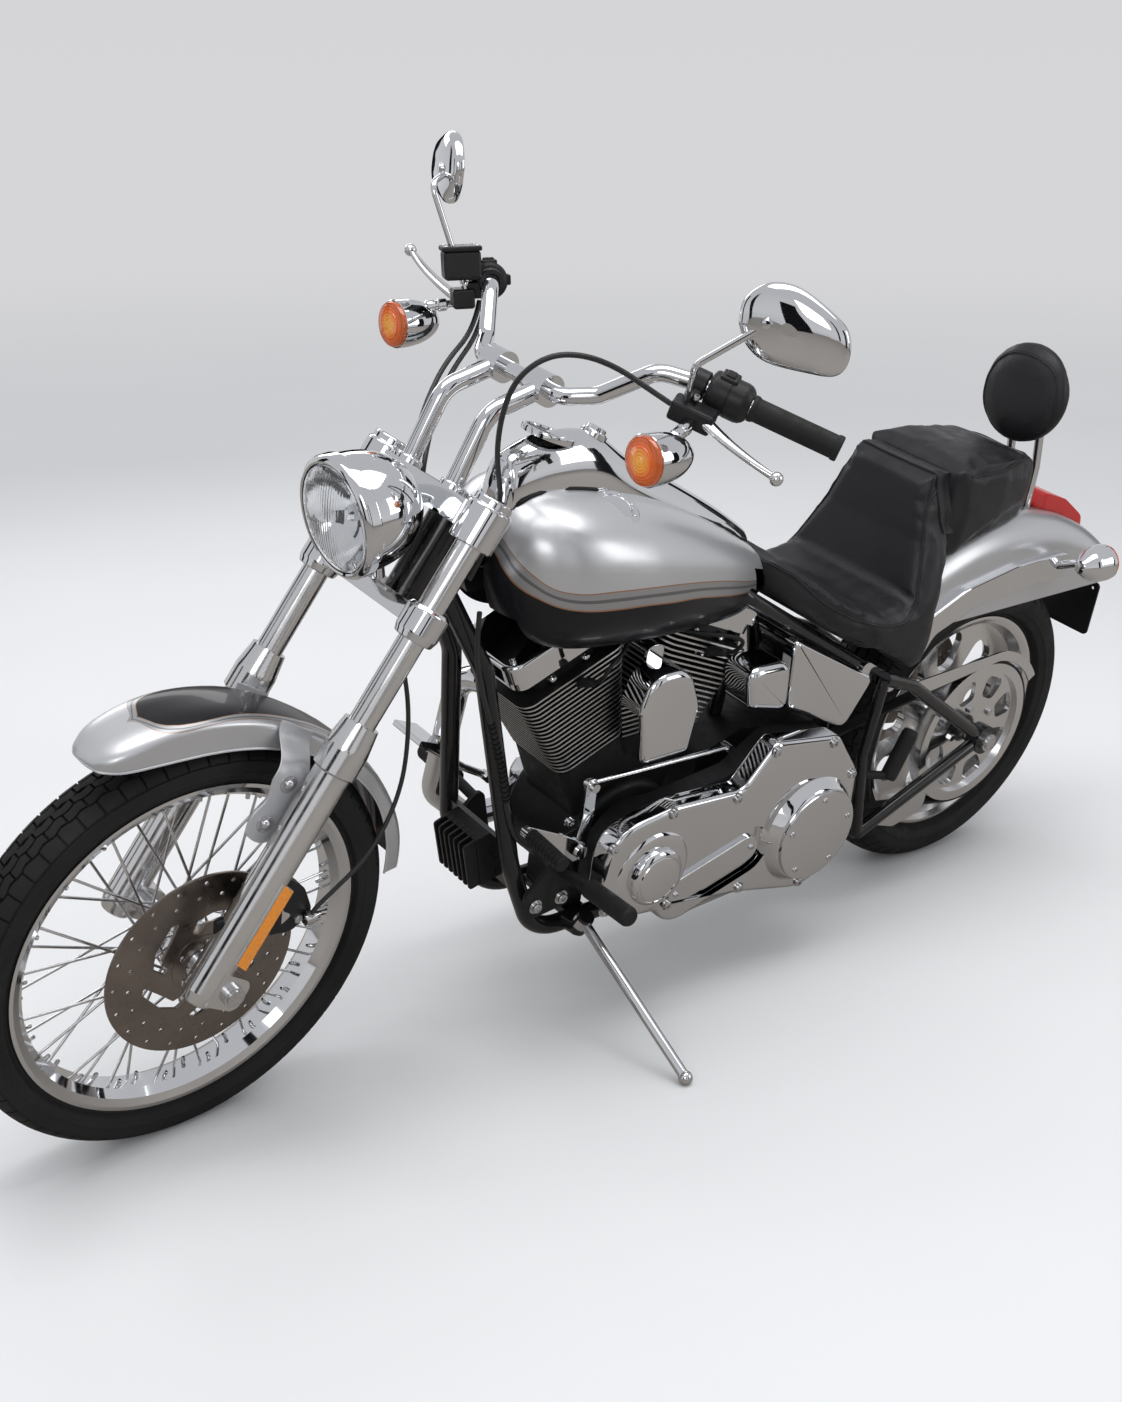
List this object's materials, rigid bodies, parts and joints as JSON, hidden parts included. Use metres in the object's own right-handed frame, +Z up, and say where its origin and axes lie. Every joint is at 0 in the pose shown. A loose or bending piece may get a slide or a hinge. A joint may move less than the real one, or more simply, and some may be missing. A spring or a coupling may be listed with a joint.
{
  "type": "cruiser motorcycle",
  "caption": "Low two-cylinder cruiser motorcycle with raked fork, wire front wheel, disc rear wheel, stepped seat with backrest and side stand.",
  "frame": {"origin": "bottom centre of the bounding box, on the floor that the tyres and the stand's foot rest on", "axes": "+X forward, +Y to the machine's left, +Z up; the machine leans 10.75 degrees to +Y on its side stand"},
  "size_m": [2.4462, 0.9097, 1.4508],
  "materials": {
    "frame_black": "gloss black",
    "engine_black": "wrinkle black",
    "chrome": "chrome plated",
    "steel": "machined",
    "belt_rubber": "moulded",
    "silver_paint": "metallic silver with clear coat",
    "red_lens": "clear red",
    "seat_leather": "smooth black",
    "peg_rubber": "black rubber on black steel",
    "caliper_black": "satin black",
    "polished_aluminium": "polished",
    "control_black": "satin black",
    "lamp_glass": "clear fluted glass",
    "tyre_black": "black rubber",
    "disc_steel": "ground steel"
  },
  "bodies": {
    "chassis": {"frame": "frame_black", "engine_case": "engine_black", "front_cylinder": "engine_black", "rear_cylinder": "engine_black", "rocker_covers": "chrome", "cam_cover": "chrome", "primary_cover": "chrome", "gearbox": "engine_black", "horn_cover": "chrome", "air_cleaner": "chrome", "exhaust": "chrome", "oil_tank": "chrome", "coil_cover": "chrome", "swingarm": "frame_black", "rear_axle": "steel", "belt": "belt_rubber", "belt_guards": "chrome", "rear_fender": "silver_paint", "fender_struts": "chrome", "rear_signals": "chrome", "tail_lamp": "red_lens", "plate_bracket": "frame_black", "fuel_tank": "silver_paint", "tank_console": "chrome", "filler_cap": "chrome", "rider_seat": "seat_leather", "pillion_seat": "seat_leather", "backrest_pad": "seat_leather", "sissy_bar": "chrome", "foot_pegs": "peg_rubber", "shift_linkage": "chrome", "brake_pedal": "chrome", "passenger_pegs": "peg_rubber", "regulator": "engine_black", "rear_caliper": "caliper_black"},
    "steering": {"fork_legs": "polished_aluminium", "front_axle": "steel", "lower_clamp": "chrome", "upper_clamp": "chrome", "risers": "chrome", "front_caliper": "caliper_black", "handlebar": "chrome", "grips": "peg_rubber", "hand_controls": "control_black", "levers": "polished_aluminium", "mirrors": "chrome", "headlamp": "chrome", "headlamp_lens": "lamp_glass", "front_signals": "chrome", "front_fender": "silver_paint"},
    "front_wheel": {"front_tyre": "tyre_black", "front_wheel": "chrome", "front_brake_disc": "disc_steel"},
    "rear_wheel": {"rear_tyre": "tyre_black", "rear_wheel": "polished_aluminium", "rear_pulley": "polished_aluminium", "rear_brake_disc": "disc_steel"},
    "side_stand": {"side_stand": "chrome"}
  },
  "joints": [
    {"name": "steering_turn", "type": "hinge", "parent": "chassis", "child": "steering", "pos_m": [0.85638, -0.16468, 0.32305], "axis": [-0.5373, 0.1573, 0.8286], "range_deg": [-33, 27]},
    {"name": "front_wheel_spin", "type": "hinge", "parent": "steering", "child": "front_wheel", "pos_m": [0.87997, -0.16044, 0.33754], "axis": [-0.0441, 0.9759, -0.2139], "continuous": true},
    {"name": "rear_wheel_spin", "type": "hinge", "parent": "chassis", "child": "rear_wheel", "pos_m": [-0.812, -0.16531, 0.31975], "axis": [0, 0.9825, -0.1865], "continuous": true},
    {"name": "side_stand_fold", "type": "hinge", "parent": "chassis", "child": "side_stand", "pos_m": [0.193, -0.05933, 0.19173], "axis": [-0.0764, 0.563, 0.8229], "range_deg": [0, 85]}
  ]
}
